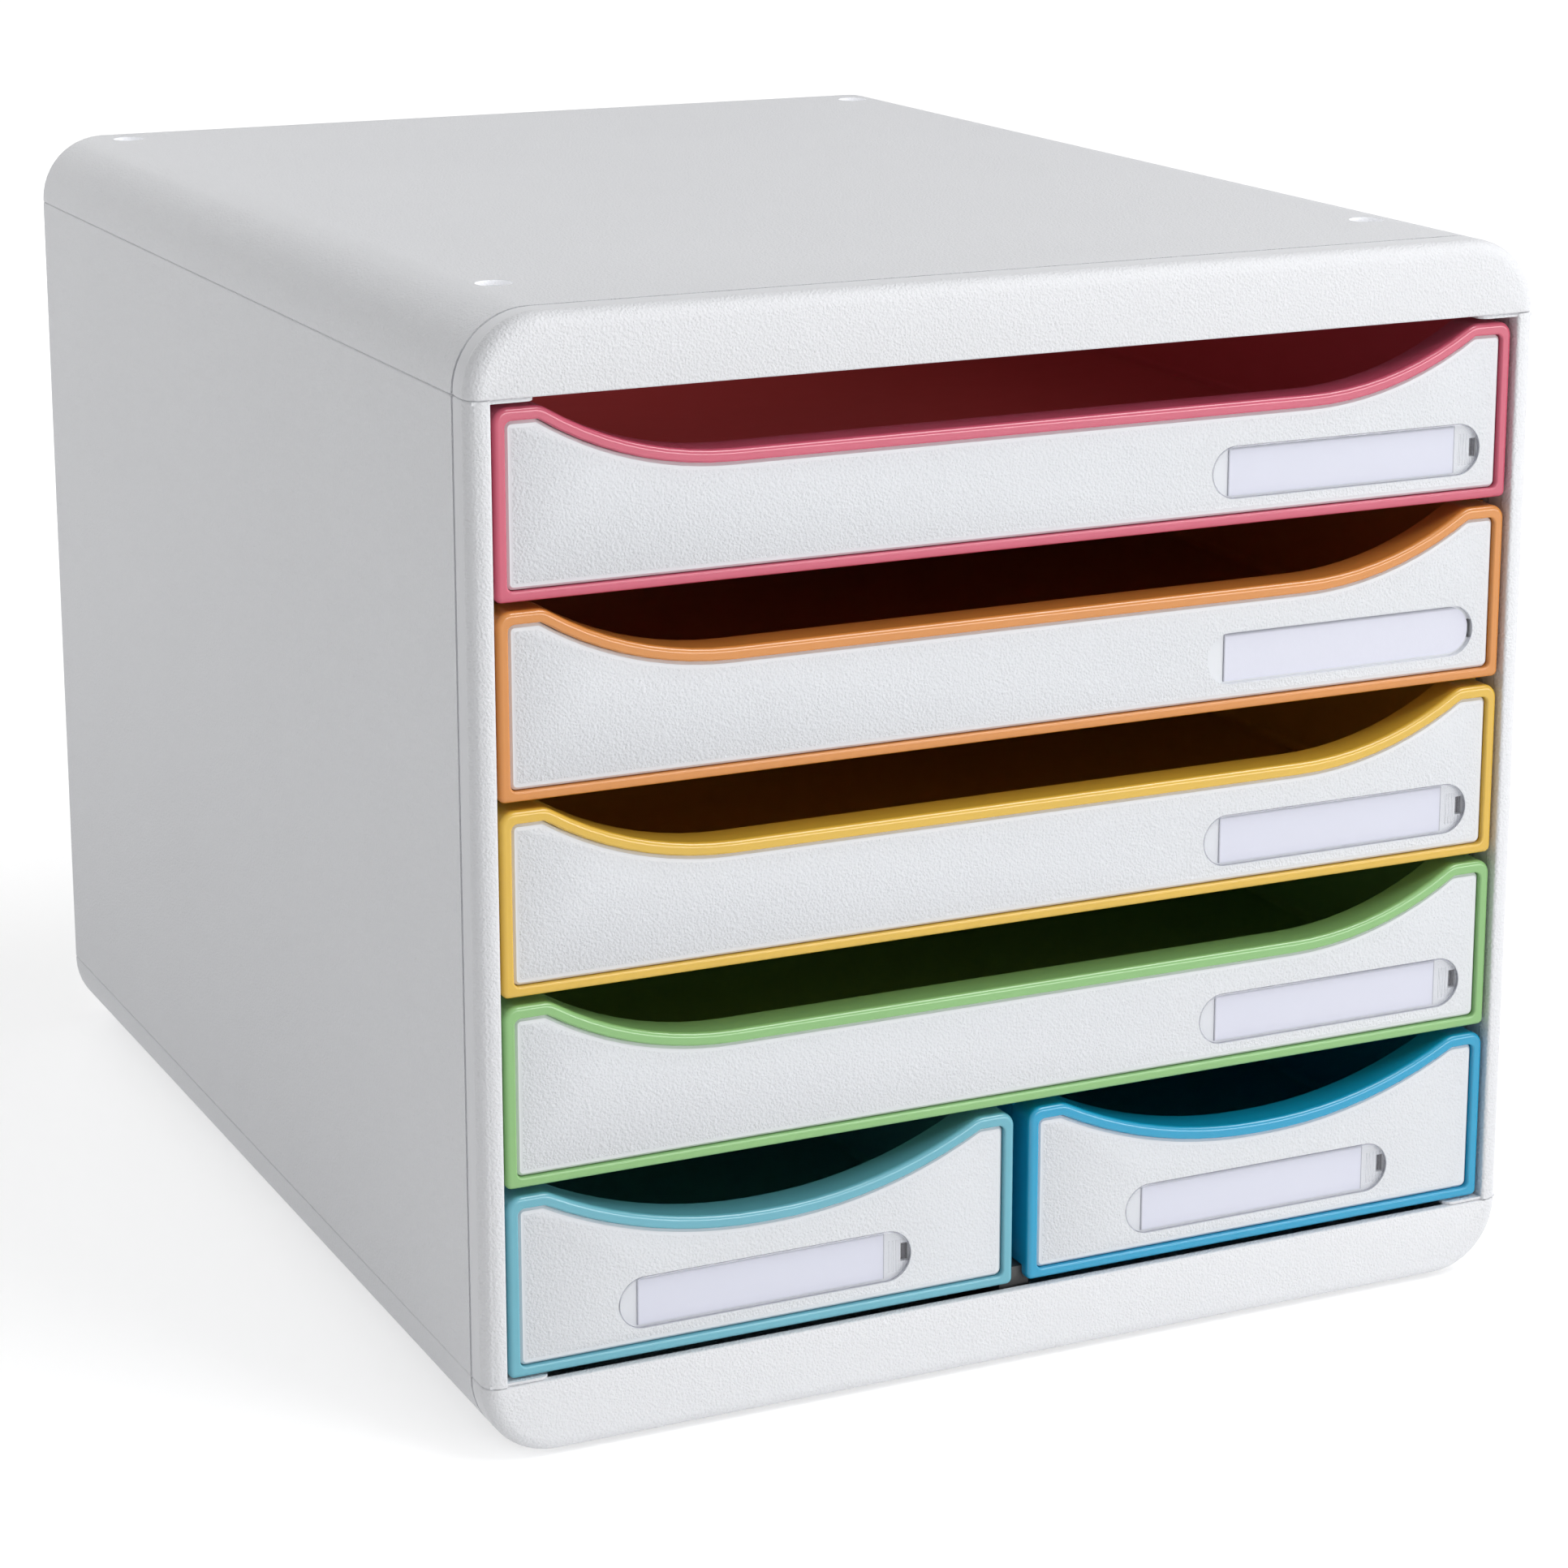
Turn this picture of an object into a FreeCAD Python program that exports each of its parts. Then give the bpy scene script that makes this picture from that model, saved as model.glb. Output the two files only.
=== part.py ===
import FreeCAD, Part
import math
import os
import re
import Sketcher

# Driving sizes in millimetres
SIZES = {
    # Casing
    "casing_width": 278,
    "casing_depth": 347,
    "cover_height": 18.5,
    "corner_radius": 18,
    "casing_wall": 2.2,
    "front_round": 4,
    "rear_round": 1.5,
    "band_depth": 9.2,
    "groove_width": 1.1,
    "groove_depth": 0.8,
    # Stacking dimples and rubber feet
    "dimple_spacing": 232.8,
    "dimple_front_inset": 42,
    "dimple_rear_inset": 13.5,
    "dimple_radius": 4.3,
    "dimple_depth": 1.2,
    "boss_wall": 1.6,
    "foot_drop": 1.2,
    "foot_gap": 0.1,
    "foot_bevel": 0.5,
    # Ribs and clip tongues of the covers
    "rib_thickness": 1.6,
    "rib_height": 5,
    "tongue_length": 14,
    "tongue_thickness": 1.6,
    "tongue_root": 4,
    "tongue_gap": 0.2,
    # Side panels
    "pillar_width": 5.4,
    "pillar_depth": 12,
    "pillar_edge_round": 0.8,
    "flange_reach": 16,
    "flange_thickness": 0.9,
    "flange_setback": 0.6,
    "flange_tip_round": 2.5,
    "ledge_reach": 9,
    "ledge_thickness": 2,
    "ledge_gap": 0.3,
    # Back panel and its channels
    "panel_thickness": 2,
    "channel_rib": 1.6,
    "channel_reach": 4,
    "channel_gap": 0.1,
    "panel_border": 16,
    "panel_relief": 0.6,
    # Rail between the small drawers
    "rail_thickness": 1.8,
    "rail_reach": 8,
    "rail_foot_reach": 6,
    "rail_head_reach": 4,
    "rail_head_length": 6,
    "rail_rise": 4,
    # Drawer rows
    "wide_height": 43.6,
    "small_height": 44.2,
    "row_gap": 2,
    "sill_gap": 0.4,
    "head_gap": 1.2,
    "side_gap": 0.9,
    "centre_gap": 4,
    "front_inset": 2,
    # Coloured border and rim of a drawer front
    "border_side": 2.7,
    "border_bottom": 2.5,
    "border_top": 3,
    "border_proud": 0.8,
    "border_round": 1.2,
    "border_inner_round": 0.5,
    "rim_depth": 9,
    "rim_thickness": 2,
    "top_corner": 3.5,
    "bottom_corner": 1.5,
    "ear_round": 6,
    # Finger scoop
    "scoop_drop": 13.6,
    "wide_ear_inset": 11.3,
    "wide_scoop_run": 45.9,
    "small_ear_inset": 9.9,
    "small_scoop_flat": 3,
    # Tray
    "tray_wall": 1.8,
    "front_wall": 2,
    "floor_thickness": 1.8,
    "floor_rise": 3.2,
    "floor_round": 2,
    "wall_inset": 0.3,
    "wall_drop": 0.6,
    "tray_rear_gap": 3,
    "tray_corner": 6,
    # Drawer travel and its stop
    "travel": 250,
    "stop_gap": 0.5,
    "stop_reach": 3.2,
    "stop_length": 8,
    "stop_height": 12,
    "stop_top_drop": 6,
    # White front plate
    "plate_thickness": 2.2,
    "plate_gap": 0.15,
    "plate_corner": 1.6,
    "plate_bevel": 0.7,
    "peg_radius": 1.4,
    "peg_gap": 0.15,
    "peg_side_inset": 14,
    "peg_rise": 14,
    # Label window
    "label_length": 75.9,
    "label_height": 12.9,
    "label_rise": 10.3,
    "label_inset": 5,
    "label_recess": 1.2,
    "slot_width": 2.2,
    "slot_height": 4.6,
    "pry_slot_width": 0.8,
    "card_height": 11.7,
    "card_start": 5.1,
    "card_end": 6.8,
    "card_thickness": 0.3,
    "open_card_end": 0.8,
    "clear_thickness": 0.85,
    "clear_proud": 0.2,
    "clear_gap": 0.1,
    "clear_bevel": 0.25,
    "grip_pitch": 0.95,
    "grip_width": 0.35,
    "grip_height": 0.15,
    "grip_start": 0.6,
    # How far a cutting shape runs past the surface it cuts
    "overrun": 1,
}

WIDE_ROWS = 4
GRIP_RIBS = 5
RIB_DEPTH_SHARES = (-0.3, -0.1, 0.1, 0.3)
TONGUE_DEPTH_SHARES = (-0.3, 0.0, 0.3)

# Drawers from top to bottom: name, kind, row above the sill, side of the middle, clear cover
DRAWERS = (
    ("pink", "wide", 4, 0, True),
    ("orange", "wide", 3, 0, False),
    ("yellow", "wide", 2, 0, True),
    ("green", "wide", 1, 0, True),
    ("teal", "small", 0, -1, True),
    ("blue", "small", 0, 1, True),
)

doc = FreeCAD.newDocument("DrawerTower")
sheet = doc.addObject("Spreadsheet::Sheet", "Sizes")
for row, (name, size) in enumerate(SIZES.items(), 1):
    sheet.set(f"A{row}", name)
    sheet.set(f"B{row}", str(size))
    sheet.setAlias(f"B{row}", name)
doc.recompute()

# Places worked out from the driving sizes
HALF_WIDTH = "casing_width / 2"
FRONT = "-casing_depth / 2"
REAR = "casing_depth / 2"
SILL = "(foot_drop + cover_height + flange_thickness + sill_gap)"
FIRST_WIDE = f"({SILL} + small_height + row_gap)"
HEAD = f"({FIRST_WIDE} + {WIDE_ROWS} * (wide_height + row_gap) - row_gap + head_gap)"
SEAM_LOW = "(foot_drop + cover_height)"
SEAM_HIGH = f"({HEAD} + flange_thickness)"
TOP = f"({SEAM_HIGH} + cover_height)"
# Room between the bottom flange and the lowest ledge, and where the ledges start under the drawer fronts
LEDGE_ROOM = "(sill_gap + floor_rise - ledge_gap - ledge_thickness)"
LEDGE_START = f"({FRONT} + front_inset + plate_thickness + ledge_gap)"
CHANNEL_FRONT = f"({REAR} - 2 * channel_rib - panel_thickness - 2 * channel_gap)"
WIDE_WIDTH = "(casing_width - 2 * pillar_width - 2 * side_gap)"
SMALL_WIDTH = f"(({WIDE_WIDTH} - centre_gap) / 2)"
FRONT_WIDTHS = {"wide": WIDE_WIDTH, "small": SMALL_WIDTH}
# A scoop is a flat with a curve at each end: half its flat, and how far each curve runs outwards
SCOOP_FLATS = {
    "wide": f"({WIDE_WIDTH} / 2 - wide_ear_inset - wide_scoop_run)",
    "small": "(small_scoop_flat / 2)",
}
SCOOP_RUNS = {
    "wide": "wide_scoop_run",
    "small": f"({SMALL_WIDTH} / 2 - small_ear_inset - small_scoop_flat / 2)",
}

# Two places closer than this are the same
TOUCH = 1e-3

WORD = re.compile(r"[a-z][a-z_]+")


def full(text):
    """Gives each alias in an expression the name of its sheet."""
    return WORD.sub(lambda found: f"Sizes.{found[0]}" if found[0] in SIZES else found[0], text)


def mm(text):
    """The value of an expression in millimetres."""
    return float(sheet.evalExpression(full(text)))


def bind(item, path, text):
    item.setExpression(path, full(text))


def row_level(row):
    """Height of the underside of the drawer fronts in a row; row 0 holds the small drawers."""
    if row == 0:
        return SILL
    return f"({FIRST_WIDE} + {row - 1} * (wide_height + row_gap))"


def edge_key(edge):
    centre = edge.CenterOfMass
    return tuple(round(value, 4) for value in (centre.x, centre.y, centre.z, edge.Length))


def lies(edge, axis, place):
    """Whether an edge lies in the plane across an axis at a place given as an expression."""
    box = edge.BoundBox
    low, high = {"x": (box.XMin, box.XMax), "y": (box.YMin, box.YMax), "z": (box.ZMin, box.ZMax)}[axis]
    where = mm(place)
    return abs(low - where) < TOUCH and abs(high - where) < TOUCH


def fix(drawing, kind, place, text):
    """Adds a dimension that follows the sheet."""
    index = drawing.addConstraint(Sketcher.Constraint(kind, *place, mm(text)))
    drawing.setExpression(f"Constraints[{index}]", full(text))


def line(drawing, start, end):
    first = FreeCAD.Vector(start[0], start[1], 0)
    last = FreeCAD.Vector(end[0], end[1], 0)
    return drawing.addGeometry(Part.LineSegment(first, last), False)


def arc(drawing, centre, radius, start_angle, end_angle):
    circle = Part.Circle(FreeCAD.Vector(centre[0], centre[1], 0), FreeCAD.Vector(0, 0, 1), radius)
    return drawing.addGeometry(Part.ArcOfCircle(circle, start_angle, end_angle), False)


def join(drawing, kind, first, first_end, second, second_end):
    drawing.addConstraint(Sketcher.Constraint(kind, first, first_end, second, second_end))


def rectangle(drawing, left, right, low, high, radii=(None, None, None, None)):
    """A rectangle with radii for its lower left, lower right, upper right and upper left corners."""
    corners = [(mm(left), mm(low)), (mm(right), mm(low)), (mm(right), mm(high)), (mm(left), mm(high))]
    steps = [(1, 0), (0, 1), (-1, 0), (0, -1)]
    sizes = [mm(radius) if radius else 0.0 for radius in radii]
    lines = []
    for i, (step_x, step_z) in enumerate(steps):
        after = (i + 1) % 4
        start = (corners[i][0] + step_x * sizes[i], corners[i][1] + step_z * sizes[i])
        end = (corners[after][0] - step_x * sizes[after], corners[after][1] - step_z * sizes[after])
        lines.append(line(drawing, start, end))
    for i, radius in enumerate(radii):
        before = lines[i - 1]
        if radius is None:
            join(drawing, "Coincident", before, 2, lines[i], 1)
            continue
        to_x = steps[i][0] - steps[i - 1][0]
        to_z = steps[i][1] - steps[i - 1][1]
        centre = (corners[i][0] + to_x * sizes[i], corners[i][1] + to_z * sizes[i])
        start_angle = math.pi + i * math.pi / 2
        bend = arc(drawing, centre, sizes[i], start_angle, start_angle + math.pi / 2)
        join(drawing, "Tangent", before, 2, bend, 1)
        join(drawing, "Tangent", bend, 2, lines[i], 1)
        fix(drawing, "Radius", (bend,), radius)
    for i, (kind, dimension, place) in enumerate((
        ("Horizontal", "DistanceY", low),
        ("Vertical", "DistanceX", right),
        ("Horizontal", "DistanceY", high),
        ("Vertical", "DistanceX", left),
    )):
        drawing.addConstraint(Sketcher.Constraint(kind, lines[i]))
        fix(drawing, dimension, (-1, 1, lines[i], 1), place)


def stadium(drawing, centre_x, centre_z, length, height):
    """A window with straight long sides and half round ends."""
    radius = mm(height) / 2
    reach = (mm(length) - mm(height)) / 2
    x, z = mm(centre_x), mm(centre_z)
    lower = line(drawing, (x - reach, z - radius), (x + reach, z - radius))
    right = arc(drawing, (x + reach, z), radius, -math.pi / 2, math.pi / 2)
    upper = line(drawing, (x + reach, z + radius), (x - reach, z + radius))
    left = arc(drawing, (x - reach, z), radius, math.pi / 2, 3 * math.pi / 2)
    for first, second in ((lower, right), (right, upper), (upper, left), (left, lower)):
        join(drawing, "Tangent", first, 2, second, 1)
    drawing.addConstraint(Sketcher.Constraint("Horizontal", lower))
    fix(drawing, "Radius", (right,), f"({height}) / 2")
    fix(drawing, "DistanceX", (-1, 1, right, 3), f"({centre_x}) + (({length}) - ({height})) / 2")
    fix(drawing, "DistanceX", (-1, 1, left, 3), f"({centre_x}) - (({length}) - ({height})) / 2")
    fix(drawing, "DistanceY", (-1, 1, right, 3), centre_z)


def scooped_front(drawing, kind, side, bottom, top, low_radius, high_radius):
    """The outline of a drawer front with its finger scoop, drawn in from the outer edge by three insets."""
    half = f"({FRONT_WIDTHS[kind]} / 2 - ({side}))"
    high = f"({kind}_height - ({top}))"
    dip = f"({kind}_height - ({top}) - scoop_drop)"
    radius = f"(({SCOOP_RUNS[kind]} ^ 2 + scoop_drop ^ 2) / (2 * scoop_drop) + ({top}))"
    flat = SCOOP_FLATS[kind]
    edge_x, low_z, high_z, dip_z = mm(half), mm(bottom), mm(high), mm(dip)
    scoop, flat_x = mm(radius), mm(flat)
    low_r, high_r = mm(low_radius), mm(high_radius)
    ear_x = flat_x + math.sqrt(scoop ** 2 - (scoop - mm("scoop_drop")) ** 2)
    ear_angle = math.atan2(mm("scoop_drop") - scoop, ear_x - flat_x)
    quarter = math.pi / 2
    floor = line(drawing, (-edge_x + low_r, low_z), (edge_x - low_r, low_z))
    low_right = arc(drawing, (edge_x - low_r, low_z + low_r), low_r, -quarter, 0)
    right = line(drawing, (edge_x, low_z + low_r), (edge_x, high_z - high_r))
    high_right = arc(drawing, (edge_x - high_r, high_z - high_r), high_r, 0, quarter)
    right_ear = line(drawing, (edge_x - high_r, high_z), (ear_x, high_z))
    right_scoop = arc(drawing, (flat_x, dip_z + scoop), scoop, -quarter, ear_angle)
    middle = line(drawing, (flat_x, dip_z), (-flat_x, dip_z))
    left_scoop = arc(drawing, (-flat_x, dip_z + scoop), scoop, math.pi - ear_angle, 3 * quarter)
    left_ear = line(drawing, (-ear_x, high_z), (-edge_x + high_r, high_z))
    high_left = arc(drawing, (-edge_x + high_r, high_z - high_r), high_r, quarter, math.pi)
    left = line(drawing, (-edge_x, high_z - high_r), (-edge_x, low_z + low_r))
    low_left = arc(drawing, (-edge_x + low_r, low_z + low_r), low_r, math.pi, 3 * quarter)
    for first, second in (
        (floor, low_right), (low_right, right), (right, high_right), (high_right, right_ear),
        (left_ear, high_left), (high_left, left), (left, low_left), (low_left, floor),
    ):
        join(drawing, "Tangent", first, 2, second, 1)
    join(drawing, "Coincident", right_ear, 2, right_scoop, 2)
    join(drawing, "Tangent", right_scoop, 1, middle, 1)
    join(drawing, "Tangent", middle, 2, left_scoop, 2)
    join(drawing, "Coincident", left_scoop, 1, left_ear, 1)
    for level in (floor, right_ear, middle, left_ear):
        drawing.addConstraint(Sketcher.Constraint("Horizontal", level))
    for upright in (right, left):
        drawing.addConstraint(Sketcher.Constraint("Vertical", upright))
    fix(drawing, "DistanceY", (-1, 1, floor, 1), bottom)
    fix(drawing, "DistanceX", (-1, 1, right, 1), half)
    fix(drawing, "DistanceX", (-1, 1, left, 1), f"-{half}")
    fix(drawing, "DistanceY", (-1, 1, right_ear, 1), high)
    fix(drawing, "DistanceY", (-1, 1, left_ear, 1), high)
    fix(drawing, "DistanceY", (-1, 1, middle, 1), dip)
    fix(drawing, "DistanceX", (-1, 1, middle, 1), flat)
    fix(drawing, "DistanceX", (-1, 1, middle, 2), f"-{flat}")
    for bend, size in (
        (low_right, low_radius), (low_left, low_radius), (high_right, high_radius), (high_left, high_radius),
        (right_scoop, radius), (left_scoop, radius),
    ):
        fix(drawing, "Radius", (bend,), size)


class Piece:
    """One moulded piece: a body whose features take their sizes from the sheet."""

    def __init__(self, label, x="0", y="0", z="0"):
        self.body = doc.addObject("PartDesign::Body", label)
        self.body.Label = label
        for axis, place in zip("xyz", (x, y, z)):
            bind(self.body, f".Placement.Base.{axis}", place)
        self.volume = 0.0

    def settle(self, feature, cut):
        """Recomputes, and makes sure that the feature added or removed material."""
        doc.recompute()
        volume = feature.Shape.Volume
        grew = volume > self.volume
        if not feature.isValid() or feature.Shape.isNull() or grew == cut or volume == self.volume:
            raise ValueError(f"{self.body.Label}: {feature.Label} changed nothing or failed")
        self.volume = volume
        return feature

    def block(self, name, x, y, z, cut=False):
        """A box between pairs of places."""
        kind = "Subtractive" if cut else "Additive"
        box = self.body.newObject(f"PartDesign::{kind}Box", name)
        for size, axis, (low, high) in zip(("Length", "Width", "Height"), "xyz", (x, y, z)):
            bind(box, size, f"({high}) - ({low})")
            bind(box, f".Placement.Base.{axis}", low)
        return self.settle(box, cut)

    def rod(self, name, x, y, z, radius, along="z", cut=False):
        """A cylinder; the pair of places is its ends on the axis that it runs along."""
        kind = "Subtractive" if cut else "Additive"
        cylinder = self.body.newObject(f"PartDesign::{kind}Cylinder", name)
        places = {"x": x, "y": y, "z": z}
        low, high = places[along]
        places[along] = low
        if along == "y":
            cylinder.Placement = FreeCAD.Placement(
                FreeCAD.Vector(), FreeCAD.Rotation(FreeCAD.Vector(1, 0, 0), -90))
        bind(cylinder, "Radius", radius)
        bind(cylinder, "Height", f"({high}) - ({low})")
        for axis, place in places.items():
            bind(cylinder, f".Placement.Base.{axis}", place)
        return self.settle(cylinder, cut)

    def drawing(self, name, y):
        """Opens a sketch that faces the front, at a place along the depth."""
        sketch = self.body.newObject("Sketcher::SketchObject", name)
        plane = next(item for item in self.body.Origin.OriginFeatures if item.Role == "XZ_Plane")
        sketch.AttachmentSupport = [(plane, "")]
        sketch.MapMode = "FlatFace"
        bind(sketch, ".AttachmentOffset.Base.z", f"-({y})")
        return sketch

    def pad(self, name, sketch, length, midplane=False):
        """Thickens a sketch towards the rear, or both ways from its middle."""
        pad = self.body.newObject("PartDesign::Pad", name)
        pad.Profile = sketch
        pad.Midplane = midplane
        pad.Reversed = not midplane
        bind(pad, "Length", length)
        sketch.Visibility = False
        return self.settle(pad, False)

    def pocket(self, name, sketch, length, midplane=False):
        """Cuts a sketch towards the rear, or both ways from its middle."""
        pocket = self.body.newObject("PartDesign::Pocket", name)
        pocket.Profile = sketch
        pocket.Midplane = midplane
        bind(pocket, "Length", length)
        sketch.Visibility = False
        return self.settle(pocket, True)

    def round(self, name, radius, choose, bevel=False):
        """Rounds or bevels the edges that a test chooses."""
        base = self.body.Tip
        names = [f"Edge{i}" for i, edge in enumerate(base.Shape.Edges, 1) if choose(edge)]
        if not names:
            raise ValueError(f"{self.body.Label}: {name} found no edge")
        dressing = self.body.newObject("PartDesign::Chamfer" if bevel else "PartDesign::Fillet", name)
        dressing.Base = (base, names)
        bind(dressing, "Size" if bevel else "Radius", radius)
        doc.recompute()
        if not dressing.isValid() or dressing.Shape.isNull():
            raise ValueError(f"{self.body.Label}: {name} failed")
        self.volume = dressing.Shape.Volume
        return dressing


def dimple_places():
    """The four stacking places, as pairs of expressions."""
    for side in (-1, 1):
        x = f"{side} * dimple_spacing / 2"
        yield x, f"({FRONT} + dimple_front_inset)"
        yield x, f"({REAR} - dimple_rear_inset)"


def make_cover(label, upper):
    """The top cover, or the base, which is the same shell turned over."""

    def span(near, far):
        """A pair of heights, measured inwards from the outer face."""
        if upper:
            return f"{TOP} - ({far})", f"{TOP} - ({near})"
        return f"foot_drop + ({near})", f"foot_drop + ({far})"

    def corners(radius):
        return (None, None, radius, radius) if upper else (radius, radius, None, None)

    cover = Piece(label)
    outline = cover.drawing("Outline", "0")
    rectangle(outline, f"-{HALF_WIDTH}", HALF_WIDTH, *span("0", "cover_height"), corners("corner_radius"))
    cover.pad("Shell", outline, "casing_depth", midplane=True)
    hollow = cover.drawing("Hollow", "0")
    inner = f"({HALF_WIDTH} - casing_wall)"
    rectangle(hollow, f"-{inner}", inner, *span("casing_wall", "cover_height"),
              corners("corner_radius - casing_wall"))
    cover.pocket("Inside", hollow, "casing_depth - 2 * casing_wall", midplane=True)

    tongue_tip = f"cover_height + flange_thickness + {LEDGE_ROOM} / 2"
    for side in (-1, 1):
        wall_face = f"{side} * ({HALF_WIDTH} - casing_wall)"
        free_face = f"{side} * ({HALF_WIDTH} - casing_wall - tongue_thickness)"
        x = (wall_face, free_face) if side < 0 else (free_face, wall_face)
        for i, share in enumerate(TONGUE_DEPTH_SHARES, 1):
            middle = f"{share} * casing_depth"
            cover.block(f"{'Left' if side < 0 else 'Right'}Tongue{i}", x,
                        (f"{middle} - tongue_length / 2", f"{middle} + tongue_length / 2"),
                        span("cover_height - tongue_root", tongue_tip))

    seam = SEAM_HIGH if upper else SEAM_LOW
    cover.round("FrontRound", "front_round",
                lambda edge: lies(edge, "y", FRONT) and not lies(edge, "z", seam))
    cover.round("RearRound", "rear_round",
                lambda edge: lies(edge, "y", REAR) and not lies(edge, "z", seam))

    groove = cover.drawing("Groove", f"{FRONT} + band_depth")
    outside = f"({HALF_WIDTH} + overrun)"
    rectangle(groove, f"-{outside}", outside, *span("-overrun", "cover_height + 2 * overrun"))
    inside = f"({HALF_WIDTH} - groove_depth)"
    rectangle(groove, f"-{inside}", inside, *span("groove_depth", "cover_height + overrun"),
              corners("corner_radius - groove_depth"))
    cover.pocket("BandGroove", groove, "groove_width")

    for i, (x, y) in enumerate(dimple_places(), 1):
        cover.rod(f"Boss{i}", x, y, span("casing_wall / 2", "casing_wall + dimple_depth"),
                  "dimple_radius + boss_wall")
        cover.rod(f"Dimple{i}", x, y, span("-overrun", "dimple_depth"), "dimple_radius", cut=True)

    rib_reach = f"({HALF_WIDTH} - corner_radius)"
    for i, share in enumerate(RIB_DEPTH_SHARES, 1):
        middle = f"{share} * casing_depth"
        cover.block(f"Rib{i}", (f"-{rib_reach}", rib_reach),
                    (f"{middle} - rib_thickness / 2", f"{middle} + rib_thickness / 2"),
                    span("casing_wall / 2", "casing_wall + rib_height"))

    return cover


def make_side_panel(label, side):
    """A side wall with its front pillar, flanges, ledges and the channel for the back panel."""

    def across(near, far):
        """A pair of places, measured inwards from the outer face."""
        if side < 0:
            return f"-{HALF_WIDTH} + ({near})", f"-{HALF_WIDTH} + ({far})"
        return f"{HALF_WIDTH} - ({far})", f"{HALF_WIDTH} - ({near})"

    panel = Piece(label)
    height = (SEAM_LOW, SEAM_HIGH)
    panel.block("Wall", across("0", "casing_wall"), (FRONT, REAR), height)
    panel.block("Pillar", across("0", "pillar_width"), (FRONT, f"{FRONT} + pillar_depth"), height)
    panel.round("PillarRound", "front_round",
                lambda edge: lies(edge, "y", FRONT) and lies(edge, "x", f"{side} * {HALF_WIDTH}"))
    panel.round("PillarEdge", "pillar_edge_round",
                lambda edge: lies(edge, "y", FRONT)
                and lies(edge, "x", f"{side} * ({HALF_WIDTH} - pillar_width)"))

    flange_y = (f"{FRONT} + flange_setback", CHANNEL_FRONT)
    flange_x = across("casing_wall / 2", "flange_reach")
    flanges = {
        "TopFlange": (f"{SEAM_HIGH} - flange_thickness", SEAM_HIGH),
        "BottomFlange": (SEAM_LOW, f"{SEAM_LOW} + flange_thickness"),
    }
    for name, flange_z in flanges.items():
        panel.block(name, flange_x, flange_y, flange_z)
    tip = f"{side} * ({HALF_WIDTH} - flange_reach)"
    panel.round("FlangeTips", "flange_tip_round",
                lambda edge: lies(edge, "x", tip) and lies(edge, "y", f"{FRONT} + flange_setback"))
    slot_x = across("casing_wall", "casing_wall + tongue_thickness + tongue_gap")
    half = "(tongue_length / 2 + tongue_gap)"
    for name, (low, high) in flanges.items():
        for i, share in enumerate(TONGUE_DEPTH_SHARES, 1):
            middle = f"{share} * casing_depth"
            panel.block(f"{name}Slot{i}", slot_x, (f"{middle} - {half}", f"{middle} + {half}"),
                        (f"{low} - overrun", f"{high} + overrun"), cut=True)

    ledge_x = across("casing_wall / 2", "casing_wall + ledge_reach")
    ledge_y = (LEDGE_START, CHANNEL_FRONT)
    for row in range(WIDE_ROWS + 1):
        top = f"({row_level(row)} + floor_rise - ledge_gap)"
        panel.block(f"Ledge{row}", ledge_x, ledge_y, (f"{top} - ledge_thickness", top))

    channel_x = across("casing_wall / 2", "casing_wall + channel_reach")
    panel.block("ChannelFront", channel_x, (CHANNEL_FRONT, f"{CHANNEL_FRONT} + channel_rib"), height)
    panel.block("ChannelRear", channel_x, (f"{REAR} - channel_rib", REAR), height)
    panel.round("RearRound", "rear_round",
                lambda edge: lies(edge, "y", REAR) and lies(edge, "x", f"{side} * {HALF_WIDTH}"))
    panel.block("BandGroove", across("-overrun", "groove_depth"),
                (f"{FRONT} + band_depth", f"{FRONT} + band_depth + groove_width"),
                (f"{SEAM_LOW} - overrun", f"{SEAM_HIGH} + overrun"), cut=True)
    return panel


def make_back_panel():
    """A flat sheet that slides into the side panels' channels, with a shallow sunk field behind."""
    back = Piece("back_panel")
    reach = f"({HALF_WIDTH} - casing_wall - channel_gap)"
    rear_face = f"({REAR} - channel_rib - channel_gap)"
    back.block("Sheet", (f"-{reach}", reach), (f"{rear_face} - panel_thickness", rear_face),
               (SEAM_LOW, SEAM_HIGH))
    field = f"({reach} - panel_border)"
    back.block("Field", (f"-{field}", field), (f"{rear_face} - panel_relief", f"{rear_face} + overrun"),
               (f"{SEAM_LOW} + panel_border", f"{SEAM_HIGH} - panel_border"), cut=True)
    return back


def make_centre_rail():
    """The rail that stands on the base's ribs and carries the inner edges of the small trays."""
    rail = Piece("centre_rail")
    y = (LEDGE_START, CHANNEL_FRONT)
    foot = "(foot_drop + casing_wall + rib_height)"
    top = f"({SILL} + floor_rise - ledge_gap)"
    behind_head = f"({LEDGE_START} + rail_head_length)"
    rail.block("Foot", ("-rail_foot_reach", "rail_foot_reach"), y, (foot, f"{foot} + rail_thickness"))
    rail.block("Head", ("-rail_head_reach", "rail_head_reach"), (LEDGE_START, behind_head), (foot, top))
    rail.block("Web", ("-rail_thickness / 2", "rail_thickness / 2"), (behind_head, CHANNEL_FRONT),
               (foot, f"{top} + rail_rise"))
    rail.block("Ledges", ("-rail_reach", "rail_reach"), y, (f"{top} - ledge_thickness", top))
    return rail


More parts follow.
